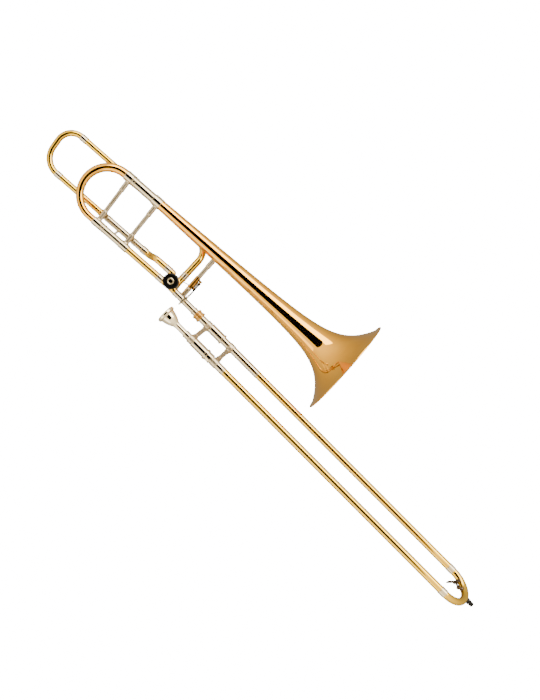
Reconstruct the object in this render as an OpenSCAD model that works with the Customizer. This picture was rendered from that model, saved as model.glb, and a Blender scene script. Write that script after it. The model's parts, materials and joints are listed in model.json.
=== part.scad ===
// Large-bore tenor trombone with an open-wrap F attachment.
// +X runs forward along the bell axis, +Y from the slide toward the bell, +Z away from the bell plane.
// The origin is the joint of bell section and slide, on the axis of the neckpipe.

/* [Bell] */
// Outer diameter of the bell rim
bell_d = 215.6; // [205:0.1:218]
// Distance from the slide joint to the bell axis
bell_y = 118.5; // [116:0.5:121]
// How far the bell rim lies ahead of the slide joint
bell_front = 274; // [260:1:290]
// Length of the bell, rim to tail
bell_len = 506; // [500:1:520]
// Sheet thickness of the bell
bell_wall = 0.6; // [0.5:0.05:0.9]

/* [Tubing] */
// Bore of the slide tubing, the neckpipe and the valve
bore = 13.9; // [13.5:0.1:14]
// Sheet thickness of the fixed tubing
tube_wall = 0.3; // [0.25:0.05:0.35]
// Outer diameter of the F tubing
f_od = 13.4; // [13:0.1:13.6]
// Depth of the F tubing behind the bell plane
f_depth = 23; // [22:0.5:25]

/* [Slide] */
// Spacing of the two slide tubes
slide_gap = 84; // [82:0.5:88]
// Length from the slide joint to the start of the slide bow
slide_len = 710; // [690:1:730]
// Angle between the slide axis and the bell axis
splay = 3.75; // [3:0.05:4.5]
// Turn of the slide plane about the slide axis
slide_turn = 119; // [105:1:135]

/* [Valve] */
// Outer diameter of the rotary valve casing
valve_d = 32.6; // [32:0.1:33.5]
// Diameter of the rotor
rotor_d = 29; // [28.5:0.1:29.2]
// Radius of the stop arm that the link pulls
stop_arm_r = 11; // [10:0.5:12]

/* [Fits] */
// Radial clearance of parts that slide or turn on each other
running = 0.05; // [0.03:0.01:0.08]
// Radial clearance of soldered and pressed joints
joint_gap = 0.02; // [0.01:0.01:0.04]

/* [Hidden] */
$fn = 64;
GOLD_BRASS = "#d79a5c";
YELLOW_BRASS = "#dcb46a";
NICKEL = "#c9bda8";
LACQUERED = "#c9953f";
SILVER = "#cfccc4";
CHROME = "#d4d7da";
STEEL = "#8f9296";
BLACK = "#1c1c1e";
CORK = "#a5794a";

leg_od = bore + 2 * tube_wall;

// Bell profile: outer radius at a distance s behind the rim
throat_r = 22.6;
throat_taper = 0.0238;
neck_flare_r = 20.6;
neck_flare_len = 86.3;
flare_r = bell_d / 2 - throat_r - neck_flare_r;
flare_len = 31.2;
edge_s = 0.8;
bead_r = 1.5;
wire_r = 0.9;
bell_split = 214;
flare_steps = 56;
stem_steps = 24;
function bell_r(s) = throat_r - throat_taper * s + flare_r * exp(-s / flare_len)
    + neck_flare_r * exp(-s / neck_flare_len);
function bell_slope(s) = -throat_taper - flare_r / flare_len * exp(-s / flare_len)
    - neck_flare_r / neck_flare_len * exp(-s / neck_flare_len);
function bell_inner_r(s) = bell_r(s) - bell_wall * sqrt(1 + pow(bell_slope(s), 2));
function flare_station(i) = edge_s + (bell_split - joint_gap - edge_s) * pow(i / flare_steps, 1.7);
function stem_station(i) = bell_split + (bell_len - bell_split) * i / stem_steps;
function bell_outline(stations) = concat(
    [for (s = stations) [bell_r(s), bell_front - s]],
    [for (i = [len(stations) - 1 : -1 : 0]) [bell_inner_r(stations[i]), bell_front - stations[i]]]
);
bead_line_r = bell_d / 2 - bead_r;

// Stations along the bell axis
bell_tail = bell_front - bell_len;
upper_receiver_x = [-297, -242];
upper_receiver_od = 20.3;
upper_inner_od = 18.9;
lower_receiver_x = [-284, -234];
lower_receiver_od = 16.2;
lower_inner_od = 14.9;
lower_ring_od = 17.4;
low_y = 6.4;
bell_brace_x = [-225, -229.5];

// Valve: the axis runs along Z
valve = [-103, 16.5, 0];
valve_z = [-19, 21];
cap_z = [21, 30];
plate_t = 3.5;
rotor_z = [-15, 17];
stem_d = 6;
arm_z = [-27.6, -25];
tail_r = 13;
stop_r = 2.2;
stop_lead = asin((2 + stop_r + 0.1) / tail_r);
stop_angles = [315 + stop_lead, 225 - stop_lead];
link_z = -30;

// F attachment
f_upper_y = 117;
f_low_y = 27;
f_return_y = 30.8;
f_port_x = -114;
f_sleeve_x = [-303, -197];
f_sleeve_od = 14;
f_leg_x = [-430, -440];
f_bow_r = [40.5, 32.4];
goose_x = -92.8;
goose_bend_r = 34;
goose_tilt = atan((f_depth) / (f_upper_y - valve[1]));
goose_reach = (f_upper_y - valve[1]) / cos(goose_tilt);
s_bend_r = 18;
s_offset = [f_return_y - f_low_y, f_depth];
s_shift = norm(s_offset);
s_angle = acos(1 - s_shift / 2 / s_bend_r);
s_start = -184;
s_end = s_start + 2 * s_bend_r * sin(s_angle);

// Main tuning slide
bow_x = -317;
bow_r = (bell_y - low_y) / 2;
bow_mid_y = (bell_y + low_y) / 2;
bow_d = [19.5, 14.9];
bow_wall = 0.5;
bow_ends = [8, 20];
tuning_brace_x = [-296.7, -304];

// Thumb lever: the hinge axis runs along Y
brace_x = -69;
hinge = [-60, 0, 2];
hinge_pin_d = 3;
link_pin_d = 2.2;
lever_y = [46.5, 52];
spring_y = [38, 46];
lug_y = [[33, 37.5], [52.3, 57]];
saddle_y = [30.6, 59];
link_pull = stop_arm_r * sin(45);
link_lever_y = 37.2;
link_valve_y = valve[1] + (stop_arm_r + link_pull) / 2;
link_start = [hinge[0] - link_pull, link_lever_y, link_z];
link_end = [valve[0] - link_pull, link_valve_y, link_z];

// Slide, in its own frame: X along the slide, Y from the lower tube to the mouthpiece tube
inner_od = 14.6;
stocking_od = 14.95;
outer_id = stocking_od + 2 * running;
outer_od = outer_id + 0.5;
sleeve_od = 16.4;
inner_end = slide_len - 20;
barrel_x = [16, 52];
barrel_od = 20;
barrel_wall = 0.8;
sleeve_start = barrel_x[1] - 9.6;
lock_x = [52.6, 66];
mouth_y = slide_gap;
tenon_x = [-24, 0];
tenon_d = [15.9, 15.0];
thread_d = 19;
nut_x = [-25, -10];
nut_d = 23;
slide_bow_r = slide_gap / 2;
key_mount = -56.7;
key_mount_r = 22.7;
key_pivot = [slide_len + key_mount_r * cos(key_mount), slide_bow_r + key_mount_r * sin(key_mount)];
key_tip = [slide_len - 5, slide_bow_r + 4];
key_angle = -27;
key_dir = [cos(key_angle), sin(key_angle)];
nipple_r = [27.5, slide_bow_r - outer_od / 2];

// ---- Helpers ----

// Turns a profile of [radius, x] points about the X axis
module turned(points) {
    rotate([0, 90, 0])
        rotate_extrude()
            polygon(points);
}

// Round bar along X between two stations
module rod(span, d) {
    translate([span[0], 0, 0])
        rotate([0, 90, 0])
            cylinder(h = span[1] - span[0], d = d);
}

// Tube along X between two stations
module tube(span, od, id) {
    turned([[id / 2, span[0]], [od / 2, span[0]], [od / 2, span[1]], [id / 2, span[1]]]);
}

// Tube along X with a rolled rib at each end
module banded(span, od, id, rib = 0.6, band = 2) {
    turned([
        [id / 2, span[0]], [od / 2 + rib / 2, span[0]], [od / 2 + rib, span[0] + rib],
        [od / 2 + rib, span[0] + band - rib], [od / 2, span[0] + band],
        [od / 2, span[1] - band], [od / 2 + rib, span[1] - band + rib],
        [od / 2 + rib, span[1] - rib], [od / 2 + rib / 2, span[1]], [id / 2, span[1]]
    ]);
}

// Part of a ring of tube in the XY plane about the origin, from angle a over the given turn
module bend(r, od, id, a, turn) {
    rotate([0, 0, a])
        rotate_extrude(angle = turn)
            translate([r, 0])
                difference() {
                    circle(d = od);
                    circle(d = id);
                }
}

// Tube that laps into the walls of the bends at both its ends
module lap_tube(span, od, id) {
    lap = 0.5;
    skin = 0.05;
    tube([span[0] - lap, span[1] + lap], od - skin, id + skin);
}

// Tube with one sleeve bore in front of a wider one, for two tube ends that meet
module stepped(span, od, id_a, id_b, split) {
    turned([
        [id_a / 2, span[0]], [od / 2 - 0.4, span[0]], [od / 2, span[0] + 0.6],
        [od / 2, span[1] - 0.6], [od / 2 - 0.4, span[1]],
        [id_b / 2, span[1]], [id_b / 2, split], [id_a / 2, split]
    ]);
}

// Brace rod between two points, with a flared socket at each end
module brace(a, b, d, socket_d, socket_len) {
    run = b - a;
    length = norm(run);
    translate(a)
        rotate([0, acos(run[2] / length), atan2(run[1], run[0])])
            union() {
                cylinder(h = length, d = d);
                cylinder(h = socket_len, d = socket_d);
                cylinder(h = 5, d1 = socket_d + 4, d2 = socket_d);
                translate([0, 0, length - socket_len])
                    cylinder(h = socket_len, d = socket_d);
                translate([0, 0, length - 5])
                    cylinder(h = 5, d1 = socket_d, d2 = socket_d + 4);
            }
}

// Moves children into the frame of the slide
module slide_frame() {
    rotate([0, 0, -splay])
        rotate([slide_turn, 0, 0])
            children();
}

// Places children on both slide tubes
module both_tubes() {
    for (y = [0, mouth_y])
        translate([0, y, 0])
            children();
}

// Closed skin over a list of rings, each a list of points that turns about the direction against the path
module ring_skin(rings) {
    sides = len(rings[0]);
    last = len(rings) - 1;
    points = [for (ring = rings) for (p = ring) p];
    walls = [
        for (k = [0 : last - 1], i = [0 : sides - 1])
            let (j = (i + 1) % sides)
                [k * sides + i, k * sides + j, (k + 1) * sides + j, (k + 1) * sides + i]
    ];
    start_cap = [for (i = [sides - 1 : -1 : 0]) i];
    end_cap = [for (i = [0 : sides - 1]) last * sides + i];
    polyhedron(points, concat(walls, [start_cap, end_cap]), convexity = 6);
}

// Coil of wire about the Z axis
function coil_ring(r, wire, a, z, sides) = [
    for (i = [0 : sides - 1])
        let (t = 360 * i / sides, q = r + wire / 2 * cos(t))
            [q * cos(a), q * sin(a), z + wire / 2 * sin(t)]
];
module coil(r, wire, turns, pitch, sides = 8, steps = 20) {
    ring_skin([
        for (k = [0 : turns * steps])
            coil_ring(r, wire, 360 * k / steps, pitch * k / steps, sides)
    ]);
}

// ---- Bell section ----

module bell() {
    color(GOLD_BRASS)
        translate([0, bell_y, 0])
            difference() {
                union() {
                    turned(bell_outline([for (i = [0 : flare_steps]) flare_station(i)]));
                    translate([bell_front - bead_r, 0, 0])
                        rotate([0, 90, 0])
                            rotate_extrude()
                                translate([bead_line_r, 0])
                                    circle(r = bead_r, $fn = 32);
                }
                translate([bell_front - bead_r, 0, 0])
                    rotate([0, 90, 0])
                        rotate_extrude()
                            translate([bead_line_r, 0])
                                circle(r = wire_r + joint_gap, $fn = 32);
            }
}

module bell_stem() {
    color(GOLD_BRASS)
        translate([0, bell_y, 0])
            turned(bell_outline([for (i = [0 : stem_steps]) stem_station(i)]));
}

module bell_rim_wire() {
    color(STEEL)
        translate([bell_front - bead_r, bell_y, 0])
            rotate([0, 90, 0])
                rotate_extrude()
                    translate([bead_line_r, 0])
                        circle(r = wire_r, $fn = 32);
}

module bell_tail_ferrule() {
    tail_od = 2 * bell_r(bell_len) + 0.8;
    color(NICKEL)
        translate([0, bell_y, 0])
            stepped([-242, -222], 23.4, upper_receiver_od + 2 * joint_gap, tail_od, bell_tail - 0.3);
}

module upper_receiver() {
    color(NICKEL)
        translate([0, bell_y, 0])
            union() {
                tube([upper_receiver_x[0], bell_tail - 0.5],
                     upper_receiver_od, upper_inner_od + 2 * running);
                banded([upper_receiver_x[0], upper_receiver_x[0] + 8], upper_receiver_od + 0.8,
                       upper_inner_od + 2 * running);
            }
}

module lower_receiver() {
    color(NICKEL)
        translate([0, low_y, 0])
            union() {
                tube([lower_receiver_x[0], -225], lower_receiver_od, lower_inner_od + 2 * running);
                banded([lower_receiver_x[0], lower_receiver_x[0] + 8], lower_receiver_od + 0.6,
                       lower_inner_od + 2 * running);
                stepped([lower_receiver_x[1], -214], lower_ring_od, lower_inner_od + 2 * running,
                        leg_od + 2 * joint_gap, -224);
            }
}

module lower_leg() {
    color(YELLOW_BRASS)
        translate([0, low_y, 0])
            tube([-223.5, -126], leg_od, bore);
}

module bell_brace() {
    color(NICKEL)
        difference() {
            brace([bell_brace_x[0], low_y + 6, 0], [bell_brace_x[1], bell_y - 9, 0], 9.5, 11, 24);
            translate([0, low_y, 0])
                rod([-260, -200], lower_ring_od + 2 * joint_gap);
            translate([0, bell_y, 0])
                rod([-260, -200], 23.4 + 2 * joint_gap);
        }
}

module valve_brace() {
    color(NICKEL)
        difference() {
            brace([brace_x, low_y, 0], [brace_x, bell_y - 9, 0], 9.5, 11, 24);
            rotate([0, 0, -splay])
                rod([-100, -40], leg_od + 2 * joint_gap);
            translate([0, bell_y, 0])
                turned([
                    [0, -40], [bell_r(bell_front + 40) + joint_gap, -40],
                    [bell_r(bell_front + 100) + joint_gap, -100], [0, -100]
                ]);
        }
}

module valve_casing() {
    color(YELLOW_BRASS)
        difference() {
            union() {
                translate([valve[0], valve[1], valve_z[0]])
                    cylinder(h = valve_z[1] - valve_z[0], d = valve_d);
                translate([valve[0], valve[1], valve_z[0] - 2.5])
                    cylinder(h = 2.6, d = 12);
                translate([0, low_y, 0])
                    rod([-125, valve[0]], leg_od);
                rotate([0, 0, -splay])
                    rod([valve[0], -82], leg_od);
                translate([0, f_return_y, 0])
                    rod([-125, f_port_x], leg_od);
                translate([f_port_x, f_return_y, 0])
                    sphere(d = leg_od);
                goose_frame()
                    translate([goose_x, 0, 0])
                        rotate([-90, 0, 0])
                            cylinder(h = 22, d = leg_od);
            }
            translate([valve[0], valve[1], rotor_z[0] - running])
                cylinder(h = 60, d = rotor_d + 2 * running);
            translate([valve[0], valve[1], -40])
                cylinder(h = 60, d = stem_d + 2 * running);
            translate([valve[0], valve[1], rotor_z[1] + running])
                cylinder(h = 10, d = rotor_d + 1);
            translate([0, low_y, 0])
                rod([-126, valve[0] - 8], bore);
            rotate([0, 0, -splay])
                rod([valve[0] + 8, -81], bore);
            translate([0, f_return_y, 0])
                rod([-126, f_port_x], bore);
            translate([f_port_x, f_return_y, 0])
                sphere(d = bore);
            goose_frame()
                translate([goose_x, 6, 0])
                    rotate([-90, 0, 0])
                        cylinder(h = 17, d = bore);
        }
}

module valve_bearing_plate() {
    color(YELLOW_BRASS)
        translate([valve[0], valve[1], rotor_z[1] + 2 * running])
            difference() {
                cylinder(h = plate_t, d = rotor_d + 1 - 2 * joint_gap);
                translate([0, 0, -1])
                    cylinder(h = plate_t + 2, d = stem_d + 2 * running);
            }
}

module valve_cap() {
    color(BLACK)
        translate([valve[0], valve[1], 0])
            difference() {
                union() {
                    translate([0, 0, cap_z[0] + joint_gap])
                        cylinder(h = cap_z[1] - cap_z[0] - 2, d = valve_d);
                    translate([0, 0, cap_z[1] - 2])
                        cylinder(h = 2, d1 = valve_d, d2 = valve_d - 4);
                }
                translate([0, 0, cap_z[0] - 1])
                    cylinder(h = cap_z[1] - cap_z[0] - 2, d = valve_d - 4);
                cylinder(h = 40, d = 7 + 2 * joint_gap);
                translate([0, 0, cap_z[1] - 1])
                    cylinder(h = 2, d = 14 + 2 * joint_gap);
            }
}

module cap_vent() {
    color(NICKEL)
        translate([valve[0], valve[1], 0])
            difference() {
                union() {
                    translate([0, 0, cap_z[1] - 1 + joint_gap])
                        cylinder(h = 0.8, d = 14);
                    translate([0, 0, cap_z[1] - 0.2 + joint_gap])
                        cylinder(h = 0.8, d1 = 14, d2 = 11.4);
                    translate([0, 0, cap_z[1] - 5])
                        cylinder(h = 5, d = 7);
                }
                translate([0, 0, cap_z[1] - 2])
                    cylinder(h = 4, d = 5);
                translate([0, 0, cap_z[1] - 0.9])
                    cylinder(h = 1.8, d1 = 5, d2 = 8.4);
            }
}

module valve_rotor() {
    port_r = 17.6;
    color(YELLOW_BRASS)
        translate([valve[0], valve[1], 0])
            difference() {
                union() {
                    translate([0, 0, rotor_z[0] + running])
                        cylinder(h = rotor_z[1] - rotor_z[0] - running, d = rotor_d);
                    translate([0, 0, arm_z[0]])
                        cylinder(h = rotor_z[1] - arm_z[0] + plate_t, d = stem_d);
                }
                for (side = [-1, 1])
                    translate([0, side * port_r * sqrt(2), 0])
                        rotate_extrude()
                            translate([port_r, 0])
                                circle(d = bore - 1.4);
            }
}

module stop_arm() {
    color(YELLOW_BRASS)
        translate([valve[0], valve[1], arm_z[0]])
            rotate([0, 0, 135])
                difference() {
                    union() {
                        cylinder(h = 2.6, d = 13);
                        hull() {
                            translate([stop_arm_r, 0, 0])
                                cylinder(h = 2.6, d = 7, $fn = 32);
                            cylinder(h = 2.6, d = 9, $fn = 32);
                        }
                        translate([-tail_r, -2, 0])
                            cube([tail_r - 3, 4, 2.6]);
                    }
                    translate([0, 0, -1])
                        cylinder(h = 5, d = stem_d + 2 * joint_gap);
                }
}

module stop_plate() {
    color(YELLOW_BRASS)
        translate([valve[0], valve[1], valve_z[0] - 1.4])
            difference() {
                union() {
                    cylinder(h = 1.4 - joint_gap, d = 26);
                    for (a = stop_angles)
                        rotate([0, 0, a])
                            translate([tail_r, 0, -1.8])
                                cylinder(h = 3.2 - joint_gap, r = stop_r + 0.9);
                }
                translate([0, 0, -1])
                    cylinder(h = 4, d = 12 + 2 * joint_gap);
                for (a = stop_angles)
                    rotate([0, 0, a])
                        translate([tail_r, 0, -2])
                            cylinder(h = 2.6, r = stop_r + joint_gap);
            }
}

module stop_bumpers() {
    top = valve_z[0] - 0.9;
    color(CORK)
        translate([valve[0], valve[1], arm_z[0]])
            for (a = stop_angles)
                rotate([0, 0, a])
                    translate([tail_r, 0, 0])
                        cylinder(h = top - arm_z[0], r = stop_r);
}

module port_ferrules() {
    color(NICKEL) {
        translate([0, low_y, 0])
            banded([-133, -119.6], 15.4, leg_od + 2 * joint_gap);
        translate([0, f_return_y, 0])
            banded([-133, -119.6], 15.4, leg_od + 2 * joint_gap);
        rotate([0, 0, -splay])
            banded([-86.2, -76], 15.4, leg_od + 2 * joint_gap);
        goose_frame()
            translate([goose_x, 0, 0])
                rotate([0, 0, 90])
                    banded([19, 32], 15.4, leg_od + 2 * joint_gap);
    }
}

module neckpipe() {
    color(NICKEL)
        rotate([0, 0, -splay])
            tube([-81.5, tenon_x[1] - 1], leg_od, bore);
}

module neck_tenon() {
    color(NICKEL)
        rotate([0, 0, -splay])
            turned([
                [leg_od / 2 + joint_gap, -34], [16 / 2, -34], [17 / 2, -32], [17 / 2, -30.5],
                [tenon_d[0] / 2, -30], [tenon_d[0] / 2, tenon_x[0]],
                [tenon_d[1] / 2, tenon_x[1]], [leg_od / 2 + joint_gap, tenon_x[1]]
            ]);
}

module lock_nut() {
    grooves = 24;
    color(LACQUERED)
        rotate([0, 0, -splay])
            difference() {
                turned([
                    [tenon_d[0] / 2 + running, nut_x[0]], [nut_d / 2 - 2, nut_x[0]],
                    [nut_d / 2, nut_x[0] + 1], [nut_d / 2, nut_x[0] + 4.5], [nut_d / 2 - 1.2, nut_x[0] + 5.5],
                    [nut_d / 2 - 1.2, nut_x[1] - 5.5], [nut_d / 2, nut_x[1] - 4.5], [nut_d / 2, nut_x[1] - 1],
                    [nut_d / 2 - 1, nut_x[1]], [thread_d / 2 + running, nut_x[1]],
                    [thread_d / 2 + running, nut_x[0] + 2.5], [tenon_d[0] / 2 + running, nut_x[0] + 2.5]
                ]);
                for (i = [0 : grooves - 1])
                    rotate([360 * i / grooves, 0, 0])
                        translate([0, 0, nut_d / 2 + 0.5])
                            rod([nut_x[0] - 1, nut_x[1] + 1], 2);
            }
}

module lever_saddle() {
    color(LACQUERED)
        difference() {
            union() {
                translate([brace_x, saddle_y[0], 0])
                    rotate([-90, 0, 0])
                        cylinder(h = saddle_y[1] - saddle_y[0], d = 11.4);
                for (span = lug_y)
                    translate([brace_x, span[0], -3])
                        cube([hinge[0] - brace_x, span[1] - span[0], 6 + hinge[2]]);
                for (span = lug_y)
                    translate([hinge[0], span[0], hinge[2]])
                        rotate([-90, 0, 0])
                            cylinder(h = span[1] - span[0], d = 7);
            }
            translate([brace_x, 0, 0])
                rotate([-90, 0, 0])
                    cylinder(h = 90, d = 9.5 + 2 * joint_gap);
            translate([hinge[0], 0, hinge[2]])
                rotate([-90, 0, 0])
                    cylinder(h = 90, d = hinge_pin_d + 2 * joint_gap);
        }
}

module lever_pivot() {
    color(STEEL)
        translate([hinge[0], lug_y[0][0] - 1.5, hinge[2]])
            rotate([-90, 0, 0])
                difference() {
                    union() {
                        cylinder(h = lug_y[1][1] - lug_y[0][0] + 1.4, d = hinge_pin_d);
                        cylinder(h = 1.4, d = 5.4);
                    }
                    translate([-3, -0.4, -0.1])
                        cube([6, 0.8, 0.7]);
                }
}

module thumb_lever() {
    blade_x = hinge[0] + 1.5;
    arm_top = link_lever_y + 1.8;
    color(NICKEL)
        difference() {
            union() {
                translate([hinge[0], lever_y[0], hinge[2]])
                    rotate([-90, 0, 0])
                        cylinder(h = lever_y[1] - lever_y[0], d = 6.8);
                hull() {
                    translate([blade_x, lever_y[0], hinge[2]])
                        cube([2.4, lever_y[1] - lever_y[0], 2]);
                    translate([blade_x, lever_y[0], 12])
                        cube([2.8, 4, 5]);
                }
                hull() {
                    translate([blade_x, lever_y[0], 12])
                        cube([2.8, 4, 5]);
                    translate([blade_x, 20, 15])
                        cube([2.8, 2, 7]);
                }
                hull() {
                    translate([blade_x, 20, 15])
                        cube([2.8, 2, 7]);
                    for (p = [[0, 13], [-4, -1]])
                        translate([blade_x + p[0], p[1], 20])
                            rotate([0, 90, 0])
                                cylinder(h = 2.4, d = 15, $fn = 32);
                }
                hull() {
                    translate([hinge[0] - 2, lever_y[0], hinge[2] - 3])
                        cube([4, 3, 3]);
                    translate([link_start[0], arm_top, link_z])
                        rotate([-90, 0, 0])
                            cylinder(h = 2.6, d = 6, $fn = 32);
                }
            }
            translate([hinge[0], 0, hinge[2]])
                rotate([-90, 0, 0])
                    cylinder(h = 90, d = hinge_pin_d + 2 * running);
            translate([link_start[0], 0, link_z])
                rotate([-90, 0, 0])
                    cylinder(h = 60, d = link_pin_d + 2 * running);
        }
}

module lever_spring() {
    color(STEEL)
        translate([hinge[0], spring_y[0] + 0.6, hinge[2]])
            rotate([-90, 0, 0])
                coil(2.35, 1, 6, 1.15);
}

module link_rod() {
    run = link_end - link_start;
    color(STEEL)
        union() {
            translate([link_start[0], link_lever_y - 1.6, link_z])
                rotate([-90, 0, 0])
                    cylinder(h = 3.1, d = 6.4);
            translate([link_start[0], link_lever_y, link_z])
                rotate([-90, 0, 0])
                    cylinder(h = 5.2, d = link_pin_d);
            translate([link_end[0], link_end[1], link_z - 1.8])
                cylinder(h = 3.6, d = 6.4);
            translate(link_start)
                rotate([0, 90, atan2(run[1], run[0])])
                    cylinder(h = norm(run), d = 2.2);
        }
}

// ---- F attachment ----

// Tilts children about the valve axis into the plane of the gooseneck
module goose_frame() {
    translate([0, valve[1], 0])
        rotate([-goose_tilt, 0, 0])
            children();
}

module gooseneck() {
    bend_y = goose_reach - goose_bend_r;
    bend_x = goose_x - goose_bend_r;
    color(YELLOW_BRASS)
        union() {
            goose_frame() {
                translate([goose_x, 0, 0])
                    rotate([0, 0, 90])
                        tube([22.5, bend_y], leg_od, bore);
                translate([bend_x, bend_y, 0])
                    bend(goose_bend_r, leg_od, bore, 0, 90);
            }
            translate([0, f_upper_y, -f_depth])
                tube([-191, bend_x], leg_od, bore);
        }
}

// Stations of the S-bend, as [x, rise, heading], with a straight run past each end
function s_path(ends, steps) = concat(
    [[s_start - ends[0], 0, 0]],
    [for (k = [0 : steps])
        let (a = s_angle * k / steps) [s_start + s_bend_r * sin(a), s_bend_r * (1 - cos(a)), a]],
    [for (k = [steps - 1 : -1 : 0])
        let (a = s_angle * k / steps) [s_end - s_bend_r * sin(a), s_shift - s_bend_r * (1 - cos(a)), a]],
    [[s_end + ends[1], s_shift, 0]]
);
function s_ring(station, r, sides) = [
    for (i = [0 : sides - 1])
        let (t = 360 * i / sides, side = r * cos(t))
            [station[0] - side * sin(station[2]), station[1] + side * cos(station[2]), -r * sin(t)]
];
module s_bend(r, ends, sides = 24, steps = 8) {
    ring_skin([for (station = s_path(ends, steps)) s_ring(station, r, sides)]);
}

module f_return_tube() {
    ends = [7, -126 - s_end];
    color(YELLOW_BRASS)
        translate([0, f_low_y, -f_depth])
            rotate([atan2(s_offset[1], s_offset[0]), 0, 0])
                difference() {
                    s_bend(leg_od / 2, ends);
                    s_bend(bore / 2, ends + [1, 1]);
                }
}

// Receiver that a leg of the F slide goes into
module f_sleeve() {
    id = f_od - 1 + 2 * running;
    union() {
        tube([f_sleeve_x[0], f_sleeve_x[1] + 4], f_sleeve_od, id);
        banded([f_sleeve_x[0] + 12, f_sleeve_x[0] + 20], f_sleeve_od + 0.4, id);
        banded([f_sleeve_x[1] - 23, f_sleeve_x[1] - 16], f_sleeve_od + 0.4, id);
        stepped([f_sleeve_x[1], f_sleeve_x[1] + 12], 16.2, id, leg_od + 2 * joint_gap,
                f_sleeve_x[1] + 5);
    }
}

module f_upper_sleeve() {
    color(NICKEL)
        translate([0, f_upper_y, -f_depth])
            f_sleeve();
}

module f_lower_sleeve() {
    color(NICKEL)
        translate([0, f_low_y, -f_depth])
            f_sleeve();
}

module f_sleeve_post() {
    a = [-256, low_y, 0];
    b = [-256, f_low_y, -f_depth];
    c = [-250, bell_y, 0];
    d = [-250, f_upper_y, -f_depth];
    color(NICKEL)
        difference() {
            union() {
                brace(a, b, 5, 6, 2);
                brace(c, d, 5, 6, 2);
            }
            translate([0, low_y, 0])
                rod([-300, -200], lower_receiver_od + 2 * joint_gap);
            translate([0, bell_y, 0])
                rod([-300, -200], upper_receiver_od + 2 * joint_gap);
            for (y = [f_low_y, f_upper_y])
                translate([0, y, -f_depth])
                    rod([-300, -200], f_sleeve_od + 2 * joint_gap);
        }
}

// ---- Main tuning slide ----

// Ring of the conical bow: it runs round the bow from a = 90 to 270, and straight on past each end
function bow_ring(a, shrink, sides) = [
    for (i = [0 : sides - 1])
        let (t = 360 * i / sides,
             turn = min(max(a, 90), 270),
             past = max(90 - a, a - 270, 0),
             r = (bow_d[0] + (bow_d[1] - bow_d[0]) * (turn - 90) / 180) / 2 - shrink,
             q = bow_r + r * cos(t))
            [q * cos(turn) + past, q * sin(turn), r * sin(t)]
];

// Solid of the bow with straight ends, whose lengths are added as if they were degrees past 90 and 270
module conical_bend(shrink, ends, sides = 24, steps = 24) {
    angles = concat([90 - ends[0]], [for (k = [0 : steps]) 90 + 180 * k / steps], [270 + ends[1]]);
    ring_skin([for (a = angles) bow_ring(a, shrink, sides)]);
}

module tuning_bow() {
    color(GOLD_BRASS)
        translate([bow_x, bow_mid_y, 0])
            difference() {
                conical_bend(0, bow_ends);
                conical_bend(bow_wall, bow_ends + [1, 1]);
            }
}

module tuning_bow_ferrules() {
    color(NICKEL) {
        translate([0, bell_y, 0])
            stepped([-315.5, -298], 22, bow_d[0] + 2 * joint_gap, upper_inner_od + 2 * joint_gap, -308.5);
        translate([0, low_y, 0])
            stepped([-305, -285], 17.8, bow_d[1] + 2 * joint_gap, lower_inner_od + 2 * joint_gap, -296.5);
    }
}

module tuning_inner_legs() {
    color(NICKEL) {
        translate([0, bell_y, 0])
            tube([-308, -240], upper_inner_od, upper_inner_od - 1.2);
        translate([0, low_y, 0])
            tube([-296, -236], lower_inner_od, bore);
    }
}

module tuning_brace() {
    color(NICKEL)
        difference() {
            brace([tuning_brace_x[0], low_y + 6, 0], [tuning_brace_x[1], bell_y - 8, 0], 9.5, 11, 24);
            translate([0, low_y, 0])
                rod([-330, -270], 17.8 + 2 * joint_gap);
            translate([0, bell_y, 0])
                rod([-330, -270], 22 + 2 * joint_gap);
        }
}

// ---- F slide ----

module f_bow() {
    id = f_od - 0.7;
    low = [f_leg_x[0], f_low_y + f_bow_r[0]];
    high = [f_leg_x[1], f_upper_y - f_bow_r[1]];
    run = high - low;
    gap = norm(run);
    lean = asin((f_bow_r[0] - f_bow_r[1]) / gap);
    a = atan2(run[1], run[0]) + 90 - lean;
    color(YELLOW_BRASS)
        translate([0, 0, -f_depth])
            union() {
                translate([low[0], low[1], 0])
                    bend(f_bow_r[0], f_od, id, a, 270 - a);
                translate([high[0], high[1], 0])
                    bend(f_bow_r[1], f_od, id, 90, a - 90);
                translate([low[0] + f_bow_r[0] * cos(a), low[1] + f_bow_r[0] * sin(a), 0])
                    rotate([0, 0, a - 90])
                        lap_tube([0, gap * cos(lean)], f_od, id);
                translate([0, f_low_y, 0])
                    tube([low[0], low[0] + 8], f_od, id);
                translate([0, f_upper_y, 0])
                    tube([high[0], high[0] + 8], f_od, id);
            }
}

module f_bow_ferrules() {
    color(NICKEL)
        translate([0, 0, -f_depth]) {
            translate([0, f_low_y, 0])
                stepped([-431, -417], 14.9, f_od + 2 * joint_gap, f_od + 2 * joint_gap, -424);
            translate([0, f_upper_y, 0])
                stepped([-441, -426], 14.9, f_od + 2 * joint_gap, f_od + 2 * joint_gap, -434);
        }
}

// Leg of the F slide: outer tube, stop ring and the inner leg that goes into the receiver
module f_leg(start) {
    union() {
        tube([start, -305], f_od, f_od - 0.7);
        banded([-311.5, f_sleeve_x[0] - 0.3], 14.4, f_od - 1.2);
        tube([-312, -212], f_od - 1, f_od - 1.8);
    }
}

module f_slide_legs() {
    color(YELLOW_BRASS)
        translate([0, 0, -f_depth]) {
            translate([0, f_low_y, 0])
                f_leg(-421.9);
            translate([0, f_upper_y, 0])
                f_leg(-431.9);
        }
}

// ---- Inner slide ----

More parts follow.
